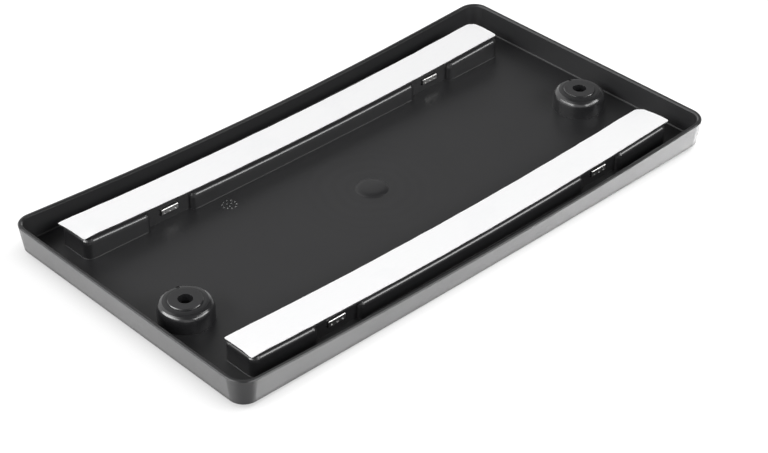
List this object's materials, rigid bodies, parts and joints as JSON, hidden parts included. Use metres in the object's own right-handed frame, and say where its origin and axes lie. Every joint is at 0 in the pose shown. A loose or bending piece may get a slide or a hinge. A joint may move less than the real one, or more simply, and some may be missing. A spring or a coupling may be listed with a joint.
{
  "type": "number plate holder",
  "caption": "Shallow rectangular tray that holds a number plate on a curved bumper, with taped rails, clip nuts for the plate screws and bosses for the bumper screws.",
  "frame": {"origin": "middle of the plate's hole pattern, at the lowest line of the slightly bowed plate side", "axes": "+X along the long side, +Y along the short side, +Z away from the plate towards the bumper"},
  "size_m": [0.3158, 0.17, 0.0169],
  "materials": {
    "black_plastic": "semi-gloss moulded",
    "tape_foam": "matt black closed-cell foam",
    "tape_liner": "smooth coated paper",
    "nut_steel": "bright zinc-plated"
  },
  "bodies": {
    "root": {"tray": "black_plastic", "foam_tape_back": "tape_foam", "foam_tape_front": "tape_foam", "liner_back": "tape_liner", "liner_front": "tape_liner", "clip_nuts": "nut_steel"}
  },
  "joints": []
}
